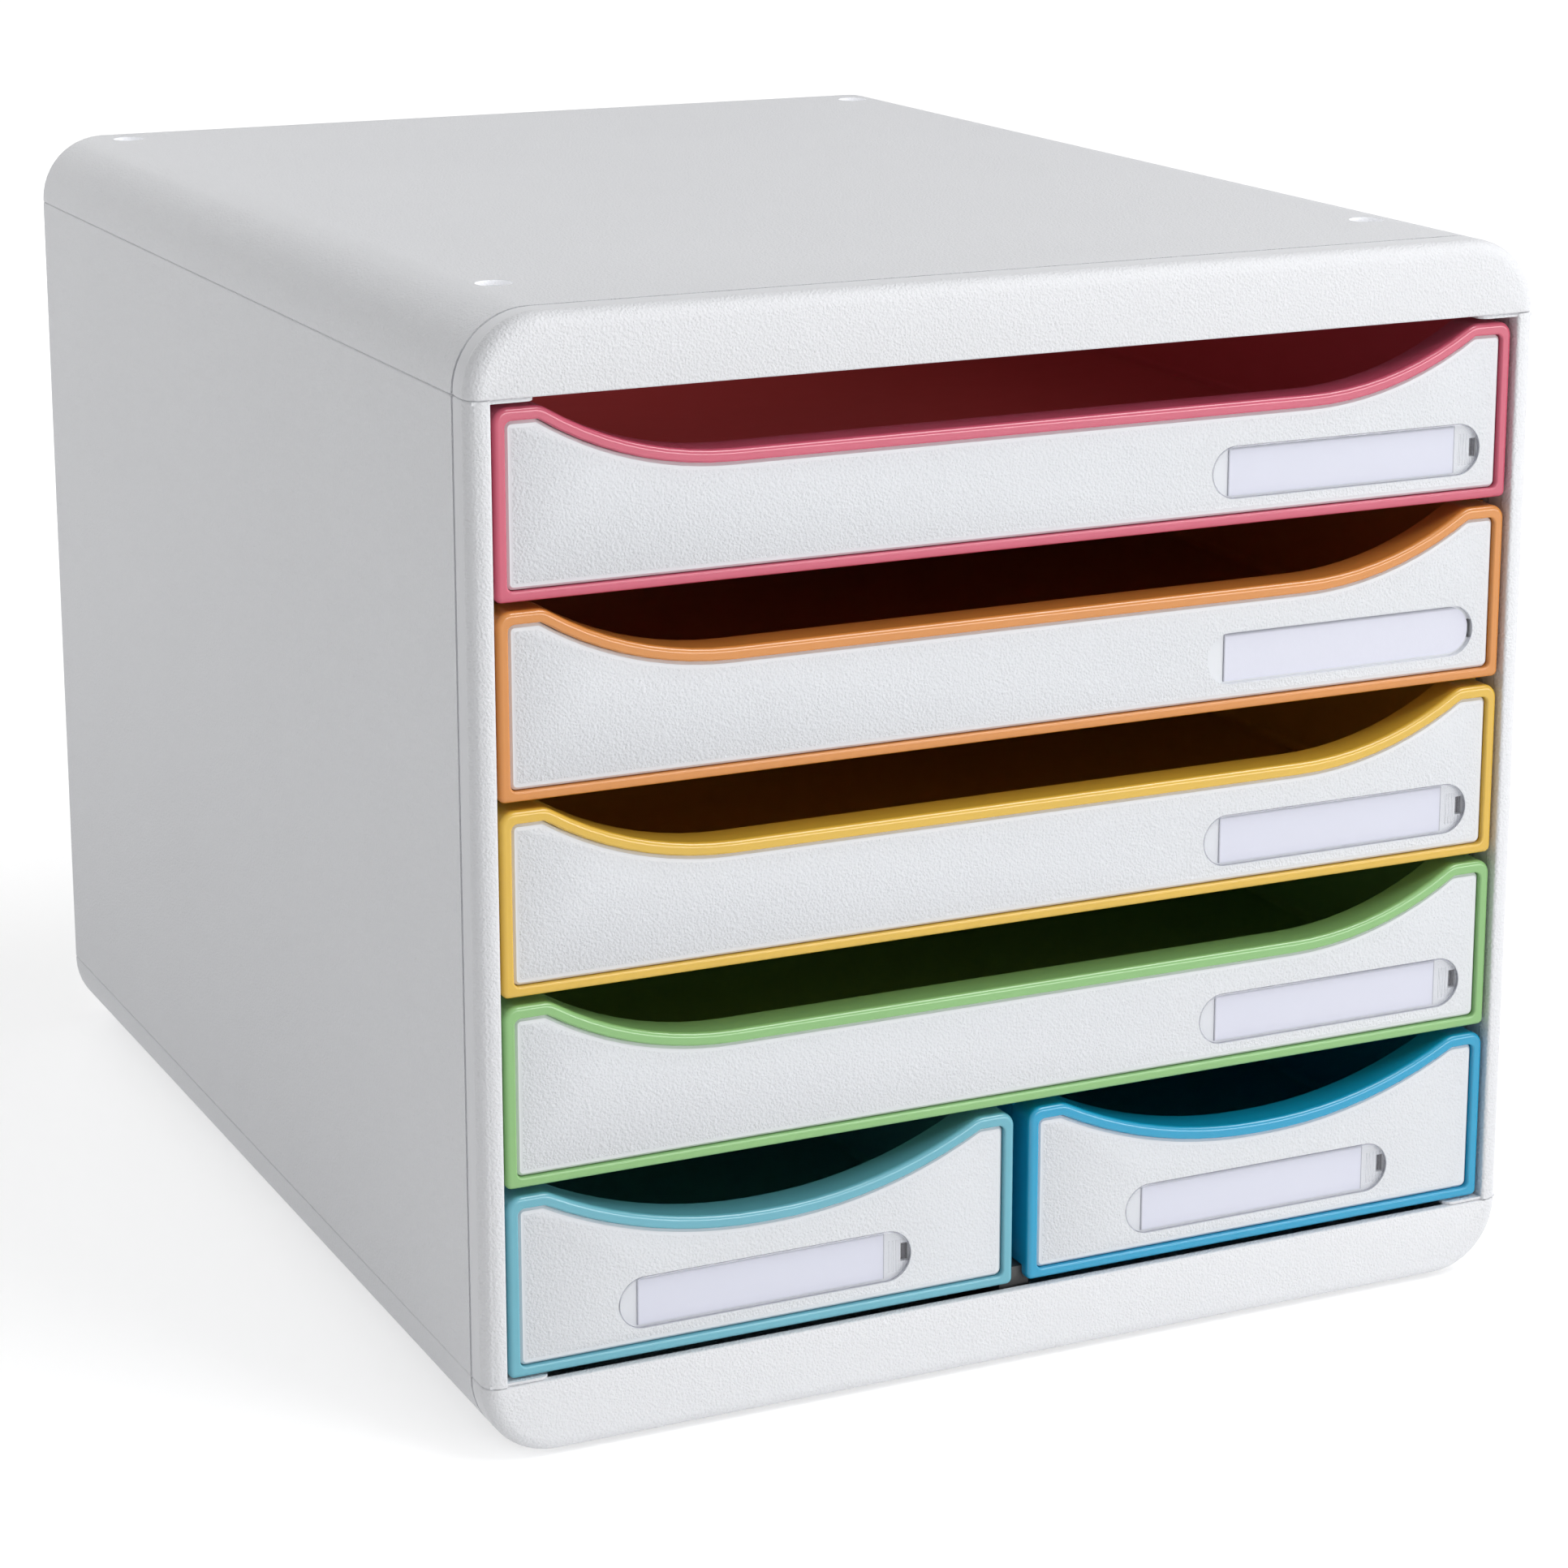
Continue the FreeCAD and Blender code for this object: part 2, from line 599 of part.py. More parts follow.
def make_feet():
    """Four rubber feet seated in the dimples of the base."""
    solids = []
    for i, (x, y) in enumerate(dimple_places(), 1):
        stem = doc.addObject("Part::Cylinder", f"FootStem{i}")
        bind(stem, "Radius", "dimple_radius - foot_gap")
        bind(stem, "Height", "foot_drop + dimple_depth - foot_bevel")
        sole = doc.addObject("Part::Cone", f"FootSole{i}")
        bind(sole, "Radius1", "dimple_radius - foot_gap - foot_bevel")
        bind(sole, "Radius2", "dimple_radius - foot_gap")
        bind(sole, "Height", "foot_bevel")
        for solid, z in ((stem, "foot_bevel"), (sole, "0")):
            bind(solid, ".Placement.Base.x", x)
            bind(solid, ".Placement.Base.y", y)
            bind(solid, ".Placement.Base.z", z)
            solids.append(solid)
    feet = doc.addObject("Part::MultiFuse", "rubber_feet")
    feet.Label = "rubber_feet"
    feet.Shapes = solids
    doc.recompute()
    return feet


def drawer_place(kind, row, side):
    """Where a drawer's own frame lies: its middle, the face of its plate and the underside of its front."""
    x = f"{side} * (centre_gap / 2 + {SMALL_WIDTH} / 2)" if kind == "small" else "0"
    return x, f"{FRONT} + front_inset", row_level(row)


def peg_places(kind):
    reach = f"({FRONT_WIDTHS[kind]} / 2 - peg_side_inset)"
    return [(f"{side} * {reach}", "peg_rise") for side in (-1, 1)]


def make_tray(name, kind, row, side):
    """A coloured tray: its bordered front with the rim of the scoop, its walls, floor and stop lugs."""
    tray = Piece(f"{name}_tray", *drawer_place(kind, row, side))
    half = f"({FRONT_WIDTHS[kind]} / 2)"
    face = "-border_proud"
    rim_rear = "(rim_depth - border_proud)"

    outline = tray.drawing("FrontOutline", face)
    scooped_front(outline, kind, "0", "0", "0", "bottom_corner", "top_corner")
    tray.pad("FrontBlock", outline, "rim_depth")
    ear = mm(f"{SCOOP_FLATS[kind]} + {SCOOP_RUNS[kind]}")
    tray.round("EarRound", "ear_round",
               lambda edge: lies(edge, "z", f"{kind}_height") and edge.BoundBox.XLength < TOUCH
               and abs(abs(edge.CenterOfMass.x) - ear) < TOUCH)
    tray.round("BorderRound", "border_round", lambda edge: lies(edge, "y", face))

    known = {edge_key(edge) for edge in tray.body.Tip.Shape.Edges}
    seat = tray.drawing("PlateSeatOutline", face)
    scooped_front(seat, kind, "border_side", "border_bottom", "border_top", "plate_corner", "plate_corner")
    tray.pocket("PlateSeat", seat, "border_proud + plate_thickness")
    tray.round("BorderInnerRound", "border_inner_round",
               lambda edge: lies(edge, "y", face) and edge_key(edge) not in known)

    tray.block("LedgeRelief", (f"-{half} - overrun", f"{half} + overrun"),
               ("plate_thickness", f"{rim_rear} + overrun"), ("-overrun", "floor_rise"), cut=True)

    wall_front = "(plate_thickness + front_wall)"
    inner_x = f"({half} - wall_inset - tray_wall)"
    outer_x = f"({half} - wall_inset)"
    rear = f"({CHANNEL_FRONT} - tray_rear_gap - ({FRONT} + front_inset))"
    floor_top = "(floor_rise + floor_thickness)"
    wall_top = f"({kind}_height - wall_drop)"
    tray.block("Tub", (f"-{outer_x}", outer_x), (rim_rear, rear), ("floor_rise", wall_top))
    tray.round("RearCorners", "tray_corner",
               lambda edge: lies(edge, "y", rear) and edge.BoundBox.XLength < TOUCH)
    tray.block("Inside", (f"-{inner_x}", inner_x), (rim_rear, f"{rear} - tray_wall"),
               (floor_top, f"{wall_top} + overrun"), cut=True)
    tray.round("InnerCorners", "tray_corner - tray_wall",
               lambda edge: lies(edge, "y", f"{rear} - tray_wall") and edge.BoundBox.XLength < TOUCH)
    tray.round("FloorRound", "floor_round",
               lambda edge: lies(edge, "z", floor_top) and edge.CenterOfMass.y > mm(rim_rear) + TOUCH)
    hollow = tray.drawing("BehindRimOutline", wall_front)
    scooped_front(hollow, kind, "wall_inset + tray_wall", floor_top, "rim_thickness", "floor_round",
                  "plate_corner")
    tray.pocket("BehindRim", hollow, f"{rim_rear} - {wall_front}")

    stop_front = "(pillar_depth + travel + stop_gap - front_inset)"
    stop_top = f"({wall_top} - stop_top_drop)"
    for end in ((-1, 1) if side == 0 else (side,)):
        near = f"{end} * ({outer_x} - tray_wall / 2)"
        far = f"{end} * ({outer_x} + stop_reach)"
        x = (far, near) if end < 0 else (near, far)
        tray.block(f"Stop{'Left' if end < 0 else 'Right'}", x, (stop_front, f"{stop_front} + stop_length"),
                   (f"{stop_top} - stop_height", stop_top))
    for i, (x, z) in enumerate(peg_places(kind), 1):
        tray.rod(f"PegHole{i}", x, ("plate_thickness - overrun", f"{wall_front} + overrun"), z,
                 "peg_radius + peg_gap", along="y", cut=True)
    return tray


def label_place(kind):
    """The middle of the label window on the plate."""
    z = "(border_bottom + label_rise)"
    if kind == "small":
        return "0", z
    return f"({FRONT_WIDTHS[kind]} / 2 - border_side - label_inset - label_length / 2)", z


def make_plate(name, kind, row, side):
    """The white front plate with its label recess, slots and rear pegs."""
    plate = Piece(f"{name}_front_plate", *drawer_place(kind, row, side))
    outline = plate.drawing("Outline", "0")
    scooped_front(outline, kind, "border_side + plate_gap", "border_bottom + plate_gap",
                  "border_top + plate_gap", "plate_corner", "plate_corner")
    plate.pad("Plate", outline, "plate_thickness")
    plate.round("Bevel", "plate_bevel", lambda edge: lies(edge, "y", "0"), bevel=True)
    x, z = label_place(kind)
    window = plate.drawing("Window", "0")
    stadium(window, x, z, "label_length", "label_height")
    plate.pocket("Recess", window, "label_recess")
    right_end = f"({x} + label_length / 2)"
    left_end = f"({x} - label_length / 2)"
    slot_y = ("label_recess - overrun", "plate_thickness + overrun")
    slot_z = (f"{z} - slot_height / 2", f"{z} + slot_height / 2")
    plate.block("ClipSlot", (f"{right_end} - slot_width", right_end), slot_y, slot_z, cut=True)
    plate.block("PrySlot", (left_end, f"{left_end} + pry_slot_width"), slot_y, slot_z, cut=True)
    for i, (peg_x, peg_z) in enumerate(peg_places(kind), 1):
        plate.rod(f"Peg{i}", peg_x, ("plate_thickness - label_recess / 2", "plate_thickness + front_wall"),
                  peg_z, "peg_radius", along="y")
    return plate


def make_card(name, kind, row, side, covered):
    """The paper card; with no clear cover it fills the window's round end too."""
    card = Piece(f"{name}_label_card", *drawer_place(kind, row, side))
    x, z = label_place(kind)
    start = f"({x} - label_length / 2 + card_start)"
    y = ("label_recess - card_thickness", "label_recess")
    height = (f"{z} - card_height / 2", f"{z} + card_height / 2")
    if covered:
        card.block("Card", (start, f"{x} + label_length / 2 - card_end"), y, height)
        return card
    end = f"({x} + label_length / 2 - open_card_end - card_height / 2)"
    card.block("Card", (start, end), y, height)
    card.rod("RoundEnd", end, y, z, "card_height / 2", along="y")
    return card


def make_clear_cover(name, kind, row, side):
    """The clear snap-in cover over the card, with grip ribs at its right end."""
    clear = Piece(f"{name}_label_cover", *drawer_place(kind, row, side))
    x, z = label_place(kind)
    outline = clear.drawing("Outline", "-clear_proud")
    stadium(outline, x, z, "label_length - 2 * clear_gap", "label_height - 2 * clear_gap")
    clear.pad("Cover", outline, "clear_thickness + clear_proud")
    clear.round("Bevel", "clear_bevel", lambda edge: lies(edge, "y", "-clear_proud"), bevel=True)
    first = f"({x} + label_length / 2 - card_end + grip_start)"
    height = (f"{z} - card_height / 3", f"{z} + card_height / 3")
    for i in range(GRIP_RIBS):
        left = f"({first} + {i} * grip_pitch)"
        clear.block(f"Grip{i + 1}", (left, f"{left} + grip_width"),
                    ("-clear_proud - grip_height", "-clear_proud + grip_height"), height)
    return clear


pieces = [
    make_cover("top_cover", True).body,
    make_cover("base", False).body,
    make_side_panel("left_side_panel", -1).body,
    make_side_panel("right_side_panel", 1).body,
    make_back_panel().body,
    make_centre_rail().body,
    make_feet(),
]
for name, kind, row, side, covered in DRAWERS:
    pieces.append(make_tray(name, kind, row, side).body)
    pieces.append(make_plate(name, kind, row, side).body)
    pieces.append(make_card(name, kind, row, side, covered).body)
    if covered:
        pieces.append(make_clear_cover(name, kind, row, side).body)

doc.recompute()
for item in doc.Objects:
    if "Invalid" in item.State or "Error" in item.State:
        raise ValueError(f"{item.Label} failed: {item.State}")
for piece in pieces:
    if piece.Shape.isNull() or not piece.Shape.isValid():
        raise ValueError(f"{piece.Label} has no valid shape")

os.makedirs("parts", exist_ok=True)
for piece in pieces:
    piece.Shape.exportStep(f"parts/{piece.Label}.step")
    print(piece.Label, len(piece.Shape.Solids), round(piece.Shape.Volume))
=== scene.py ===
import math

import bmesh
import bpy
import mathutils
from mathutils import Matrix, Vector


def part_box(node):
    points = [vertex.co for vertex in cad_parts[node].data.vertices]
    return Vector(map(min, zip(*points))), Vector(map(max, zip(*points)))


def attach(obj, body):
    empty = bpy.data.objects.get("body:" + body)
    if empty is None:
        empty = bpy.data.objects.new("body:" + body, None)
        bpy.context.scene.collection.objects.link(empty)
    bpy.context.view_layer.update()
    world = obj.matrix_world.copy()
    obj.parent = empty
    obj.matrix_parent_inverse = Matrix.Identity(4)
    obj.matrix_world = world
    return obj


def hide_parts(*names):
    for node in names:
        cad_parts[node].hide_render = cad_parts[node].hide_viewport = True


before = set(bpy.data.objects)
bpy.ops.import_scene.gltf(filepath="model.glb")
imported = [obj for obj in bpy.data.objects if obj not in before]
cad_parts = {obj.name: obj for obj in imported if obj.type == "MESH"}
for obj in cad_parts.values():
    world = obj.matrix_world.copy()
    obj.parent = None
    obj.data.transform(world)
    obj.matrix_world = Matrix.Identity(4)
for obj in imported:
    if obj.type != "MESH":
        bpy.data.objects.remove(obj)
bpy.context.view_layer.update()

# Camera
# It looks down at the drawer fronts from the left, through a long lens. The photograph's uprights are
# nearly parallel, so a little of its framing comes from a raised lens.
eye = bpy.data.cameras.new("eye")
eye.lens = 93.11
eye.sensor_width = 36
eye.shift_y = -0.12
camera = bpy.data.objects.new("camera", eye)
camera.location = (-0.44215, -0.97985, 0.41283)
camera.rotation_euler = (math.radians(76.519), math.radians(0.043), math.radians(-25.148))
bpy.context.scene.collection.objects.link(camera)
bpy.context.scene.camera = camera
bpy.context.scene.view_settings.view_transform = "Standard"


# White casing: top cover, base, side panels and back panel
# Moulded in white polystyrene. The mould leaves a leather grain on the faces, but none on the narrow band
# behind the front edge or in the dimples, whose walls are given a faint painted glow, painted light that
# brightens them. The pieces clip together at softly rounded seams; painted shade darkens the seams and the
# groove.
class Wire:
    """One output of a shader node; arithmetic on it adds Math nodes."""

    def __init__(self, owner, socket):
        self.owner = owner
        self.socket = socket

    def math(self, operation, *values):
        return self.owner.node("ShaderNodeMath", {"operation": operation}, dict(enumerate(values)))

    def __add__(self, other):
        return self.math("ADD", self, other)

    __radd__ = __add__

    def __sub__(self, other):
        return self.math("SUBTRACT", self, other)

    def __rsub__(self, other):
        return self.math("SUBTRACT", other, self)

    def __mul__(self, other):
        return self.math("MULTIPLY", self, other)

    __rmul__ = __mul__

    def __abs__(self):
        return self.math("ABSOLUTE", self)

    def ramp(self, low, high):
        """0 below low, 1 above high, and a smooth step between."""
        settings = {"interpolation_type": "SMOOTHSTEP"}
        return self.owner.node("ShaderNodeMapRange", settings, {0: self, 1: low, 2: high})

    def near(self, value, inner, outer):
        """1 within the inner distance of a value, 0 beyond the outer one."""
        return 1 - abs(self - value).ramp(inner, outer)


class Tree:
    """The node tree of a material or of the world."""

    def __init__(self, tree):
        self.tree = tree

    def node(self, kind, settings=None, inputs=None, output=0):
        """Adds a node: its settings first, then the values or links of its sockets."""
        made = self.tree.nodes.new(kind)
        for setting, value in (settings or {}).items():
            setattr(made, setting, value)
        for socket, value in (inputs or {}).items():
            if isinstance(value, Wire):
                self.tree.links.new(value.socket, made.inputs[socket])
            else:
                made.inputs[socket].default_value = value
        return Wire(self, made.outputs[output])

    def background_rays(self):
        """1 for the rays that show the background: those of the camera, of reflections and through glass."""
        seen = self.node("ShaderNodeLightPath", output="Is Camera Ray")
        for ray in ("Is Glossy Ray", "Is Transmission Ray"):
            seen = seen.math("MAXIMUM", seen, self.node("ShaderNodeLightPath", output=ray))
        return seen


class Finish(Tree):
    """A material built from nodes around one Principled shader."""

    def __init__(self, name, roughness, **plain):
        self.material = bpy.data.materials.new(name)
        self.material.use_nodes = True
        super().__init__(self.material.node_tree)
        self.shader = self.tree.nodes["Principled BSDF"]
        self.shader.inputs["Roughness"].default_value = roughness
        for socket, value in plain.items():
            self.shader.inputs[socket.replace("_", " ")].default_value = value

    def feed(self, socket, wire):
        self.tree.links.new(wire.socket, self.shader.inputs[socket])

    def place(self):
        return self.node("ShaderNodeTexCoord", output="Object")

    def facing(self, axis):
        """How far a face points along an axis."""
        return self.axis(self.node("ShaderNodeNewGeometry", output="True Normal"), axis)

    def axis(self, vector, axis):
        return self.node("ShaderNodeSeparateXYZ", {}, {0: vector}, axis)

    def noise(self, place, scale, detail=2.0):
        return self.node("ShaderNodeTexNoise", {}, {"Vector": place, "Scale": scale, "Detail": detail})

    def mix(self, share, first, second):
        """Mixes two colours by a share."""
        return self.node("ShaderNodeMix", {"data_type": "RGBA"}, {0: share, 6: first, 7: second}, 2)

    def bump(self, height, distance):
        self.feed("Normal", self.node("ShaderNodeBump", {}, {"Height": height, "Distance": distance}))

    def grain(self, place):
        """The mould's leather grain: rounded cells under a millimetre across, broken up by fine noise."""
        cells = self.node("ShaderNodeTexVoronoi", {"feature": "SMOOTH_F1"},
                          {"Vector": place, "Scale": 1650.0, "Smoothness": 0.9})
        return cells * 0.75 + self.noise(place, scale=3200.0, detail=3.0) * 0.5

    def satin(self, place):
        """The roughness of a grained face."""
        return 0.44 + 0.12 * self.noise(place, scale=420.0)

    def dress(self, node):
        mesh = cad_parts[node].data
        mesh.materials.clear()
        mesh.materials.append(self.material)


def take_copy(node, body):
    """Joins up a copy of a node's mesh, leaves it open in edit mode, and lets it stand in for the node."""
    piece = bpy.data.objects.new(f"{node}_moulding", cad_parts[node].data.copy())
    bpy.context.scene.collection.objects.link(piece)
    piece.data.materials.clear()
    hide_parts(node)
    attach(piece, body)
    bpy.ops.object.select_all(action="DESELECT")
    piece.select_set(True)
    bpy.context.view_layer.objects.active = piece
    bpy.ops.object.mode_set(mode="EDIT")
    bpy.ops.mesh.customdata_custom_splitnormals_clear()
    bpy.ops.mesh.select_all(action="SELECT")
    bpy.ops.mesh.remove_doubles(threshold=0.000002)
    bpy.ops.mesh.select_all(action="DESELECT")
    return piece


def select(piece, kind, test):
    """Selects the edges or faces of the open piece that pass a test."""
    bpy.ops.mesh.select_mode(type=kind)
    mesh = bmesh.from_edit_mesh(piece.data)
    for part in {"EDGE": mesh.edges, "FACE": mesh.faces}[kind]:
        part.select_set(test(part))
    bmesh.update_edit_mesh(piece.data)


def leave_edit():
    """Back to object mode, with the piece's gentle edges shaded smooth."""
    bpy.ops.object.mode_set(mode="OBJECT")
    bpy.ops.object.shade_smooth_by_angle(angle=math.radians(35))


CASING_WHITE = (0.83, 0.838, 0.865, 1)
CASING_SHADE = (0.80, 0.808, 0.835, 1)
SHADE_GREY = (0.30, 0.305, 0.32, 1)
BLACK = (0, 0, 0, 1)
GRAIN_DEPTH = 0.00026

# The smooth band and the groove behind it, by depth, and the seams, by height. The groove and the seams get
# painted shade.
BAND = (-0.1692, -0.1643)
GROOVE = (-0.1643, -0.1632)
GROOVE_SHADE = 0.35
SEAMS = (0.0197, 0.2497)
SEAM_SHADE = 0.1
SEAM_ROUND = 0.00045

# The dimples' floor and the middle of their walls, by height, and where they lie, by depth.
DIMPLE_FLOOR = 0.2670
DIMPLE_WALL = 0.2676
DIMPLE_MIDDLE = 0.01425
DIMPLE_REACH = 0.1505
DIMPLE_PAINTED_LIGHT = 0.35
DIMPLE_ROUGHNESS = 0.1

# EDGE is the unit of the soft borders between finishes. TOUCH is how near counts as the same place.
EDGE = 0.0001
TOUCH = 0.00001

casing = Finish("casing_white_plastic", 0.5, Emission_Strength=DIMPLE_PAINTED_LIGHT)
place = casing.place()
depth = casing.axis(place, "Y")
height = casing.axis(place, "Z")
upward = casing.facing("Z")
# Painted shade: the groove and the seams are coloured towards a dark grey.
painted_shade = GROOVE_SHADE * (depth.ramp(GROOVE[0], GROOVE[0] + EDGE) - depth.ramp(GROOVE[1] - EDGE, GROOVE[1]))
for seam in SEAMS:
    painted_shade = painted_shade + SEAM_SHADE * height.near(seam, EDGE, 4 * EDGE)
white = casing.mix(casing.noise(place, scale=14.0), CASING_WHITE, CASING_SHADE)
casing.feed("Base Color", casing.mix(painted_shade, white, SHADE_GREY))
dimple = upward.ramp(0.96, 0.99) * height.near(DIMPLE_FLOOR, 3 * EDGE, 6 * EDGE)
casing.feed("Roughness", casing.satin(place) * (1 - dimple) + DIMPLE_ROUGHNESS * dimple)
# Painted light: the dimples' walls glow faintly in the casing's white.
painted_wall_light = (1 - abs(upward).ramp(0.2, 0.4)) * height.near(DIMPLE_WALL, 5 * EDGE, 7 * EDGE)
painted_wall_light = painted_wall_light * depth.near(DIMPLE_MIDDLE, DIMPLE_REACH, DIMPLE_REACH + 5 * EDGE)
casing.feed("Emission Color", casing.mix(painted_wall_light, BLACK, CASING_WHITE))
band = depth.ramp(BAND[0] - 4 * EDGE, BAND[0]) - depth.ramp(BAND[1], BAND[1] + 2 * EDGE)
casing.bump(casing.grain(place) * (1 - band) * (1 - dimple), GRAIN_DEPTH)
casing.dress("back_panel")


def is_seam(edge):
    """Whether an edge runs along a seam on the outside of the casing, clear of the groove."""
    middle = (edge.verts[0].co + edge.verts[1].co) / 2
    at_seam = all(min(abs(vertex.co.z - seam) for seam in SEAMS) < TOUCH for vertex in edge.verts)
    level = any(abs(face.normal.z) > 0.99 for face in edge.link_faces)
    outer = any(abs(face.normal.z) < 0.1 and face.normal.x * middle.x + face.normal.y * middle.y > 0
                for face in edge.link_faces)
    grooved = GROOVE[0] - EDGE < middle.y < GROOVE[1] + EDGE
    return at_seam and level and outer and not grooved


for name in ("top_cover", "base", "left_side_panel", "right_side_panel"):
    piece = take_copy(name, "casing")
    select(piece, "EDGE", is_seam)
    bpy.ops.mesh.bevel(offset=SEAM_ROUND, segments=3, affect="EDGES", clamp_overlap=False)
    leave_edit()
    low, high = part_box(name)
    for vertex in piece.data.vertices:
        vertex.co.y = min(max(vertex.co.y, low.y), high.y)
    piece.data.materials.append(casing.material)

# Centre rail and feet
# The rail between the small drawers is a dark grey moulding, smooth from the mould. The four feet under the
# base are soft rubber plugs.
RAIL_GREY = (0.10, 0.095, 0.092, 1)
RAIL_SHADE = (0.07, 0.068, 0.068, 1)
RUBBER_BLACK = (0.022, 0.022, 0.024, 1)
RUBBER_WORN = (0.034, 0.034, 0.036, 1)

rail = Finish("rail_grey_plastic", 0.4)
place = rail.place()
rail.feed("Base Color", rail.mix(rail.noise(place, scale=60.0), RAIL_GREY, RAIL_SHADE))
rail.bump(rail.noise(place, scale=3000.0), distance=0.00003)
rail.dress("centre_rail")

rubber = Finish("foot_rubber", 0.85)
place = rubber.place()
rubber.feed("Base Color", rubber.mix(rubber.noise(place, scale=300.0), RUBBER_BLACK, RUBBER_WORN))
rubber.bump(rubber.noise(place, scale=2500.0), distance=0.00005)
rubber.dress("rubber_feet")

# Coloured trays
# Each is one glossy moulding of tinted plastic: the border and rim of the front, the walls and the floor.
# The top tray's inside has a faint painted glow, painted light that stands in for light through the white
# cover. The seat behind the plate is painted dark as a shadow.
TRAYS = {
    "pink": (0.64, 0.095, 0.165, 1),
    "orange": (0.72, 0.275, 0.054, 1),
    "yellow": (0.79, 0.495, 0.058, 1),
    "green": (0.275, 0.545, 0.2, 1),
    "teal": (0.15, 0.47, 0.58, 1),
    "blue": (0.006, 0.355, 0.61, 1),
}
TINT_VARIES = 0.1
SEAT_FLOOR = -0.1693
SEAT_SHADOW = (0.03, 0.022, 0.02, 1)
TRAY_INSIDE = -0.1635
TRAY_FLOOR = 0.005
PINK_PAINTED_GLOW = (1, 0.15, 0.13, 1)
PINK_PAINTED_GLOW_STRENGTH = 0.055
PINK_PAINTED_GLOW_FADE = (0.02, 0.13)
PINK_PAINTED_GLOW_LOSS = 0.7

for name, colour in TRAYS.items():
    tray = Finish(f"{name}_gloss_plastic", 0.3, Coat_Weight=0.35, Coat_Roughness=0.1)
    place = tray.place()
    depth = tray.axis(place, "Y")
    # Painted shadow: the seat behind the plate is coloured almost black.
    seat = abs(tray.facing("Y")).ramp(0.95, 0.99) * depth.near(SEAT_FLOOR, 2 * EDGE, 4 * EDGE)
    tint = tray.mix(TINT_VARIES * tray.noise(place, scale=30.0), colour, BLACK)
    tray.feed("Base Color", tray.mix(seat, tint, SEAT_SHADOW))
    tray.feed("Roughness", 0.2 + 0.08 * tray.noise(place, scale=180.0))
    tray.bump(tray.noise(place, scale=400.0), distance=0.00002)
    # Painted light: the pink tray's inside glows faintly, weaker towards its right.
    if name == "pink":
        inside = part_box("pink_tray")[0].z + TRAY_FLOOR
        painted_light = depth.ramp(TRAY_INSIDE, TRAY_INSIDE + 4 * EDGE)
        painted_light = painted_light * tray.axis(place, "Z").ramp(inside - 4 * EDGE, inside - EDGE)
        painted_light = painted_light * (1 - PINK_PAINTED_GLOW_LOSS * tray.axis(place, "X").ramp(*PINK_PAINTED_GLOW_FADE))
        tray.feed("Emission Color", tray.mix(painted_light, BLACK, PINK_PAINTED_GLOW))
        tray.shader.inputs["Emission Strength"].default_value = PINK_PAINTED_GLOW_STRENGTH
    tray.dress(f"{name}_tray")

# White front plates
# A plate of the casing's white plastic is pressed into each coloured border on two pegs. Its face has the
# leather grain and stands a hair above a smooth rim, and the label window is sunk into it.
RIM_WIDTH = 0.0006
FIELD_SLOPE = 0.0002
FIELD_RISE = 0.0001
WINDOW_LENGTH = 0.0759
CARD_START = 0.0051
WINDOW_REACH = (0.0400, 0.0080)
RIM_WHITE = (0.785, 0.802, 0.835, 1)
RIM_SHADE = (0.765, 0.782, 0.815, 1)
PLATE_WHITE = (0.77, 0.787, 0.82, 1)
PLATE_SHADE = (0.745, 0.762, 0.795, 1)

rim = Finish("plate_smooth_white", 0.4)
place = rim.place()
rim.feed("Base Color", rim.mix(rim.noise(place, scale=20.0), RIM_WHITE, RIM_SHADE))
rim.bump(rim.noise(place, scale=500.0), distance=0.00001)

plate = Finish("plate_grained_white", 0.5)
place = plate.place()
plate.feed("Base Color", plate.mix(plate.noise(place, scale=20.0), PLATE_WHITE, PLATE_SHADE))
plate.feed("Roughness", plate.satin(place))
plate.bump(plate.grain(place), GRAIN_DEPTH)


def is_front(normal, middle, depth):
    """Whether a face points to the front and lies at a depth."""
    return normal.y < -0.99 and abs(middle.y - depth) < TOUCH


def in_window(place, middle):
    return abs(place.x - middle.x) < WINDOW_REACH[0] and abs(place.z - middle.z) < WINDOW_REACH[1]


for name in TRAYS:
    piece = take_copy(f"{name}_front_plate", f"{name}_drawer")
    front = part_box(f"{name}_front_plate")[0].y
    low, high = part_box(f"{name}_label_card")
    middle = (low + high) / 2
    middle.x = low.x - CARD_START + WINDOW_LENGTH / 2

    select(piece, "FACE", lambda face: is_front(face.normal, face.calc_center_median(), front))
    bpy.ops.mesh.delete(type="FACE")
    select(piece, "EDGE", lambda edge: edge.is_boundary and not in_window(edge.verts[0].co, middle))
    bpy.ops.mesh.edge_face_add()
    bpy.ops.mesh.inset(thickness=RIM_WIDTH)
    bpy.ops.mesh.inset(thickness=FIELD_SLOPE)
    bpy.ops.mesh.delete(type="FACE")
    select(piece, "EDGE", lambda edge: edge.is_boundary)
    bpy.ops.transform.translate(value=(0, -FIELD_RISE, 0))
    bpy.ops.mesh.fill(use_beauty=False)
    bpy.ops.mesh.select_all(action="SELECT")
    bpy.ops.mesh.normals_make_consistent(inside=False)
    leave_edit()

    piece.data.materials.append(rim.material)
    piece.data.materials.append(plate.material)
    for face in piece.data.polygons:
        face.material_index = int(is_front(face.normal, face.center, front - FIELD_RISE))

# Label cards
# A card cut from white office paper lies in each label window. It has a faint blue cast and almost no shine,
# and a thin shadow of the window's edge is painted along its top and its ends.
PAPER_WHITE = (0.77, 0.78, 0.88, 1)
PAPER_SHADE = (0.75, 0.76, 0.86, 1)
EDGE_SHADE = (0.36, 0.365, 0.42, 1)
TOP_SHADOW = 0.0009
LEFT_SHADOW = 0.0005
RIGHT_SHADOW = 0.0004

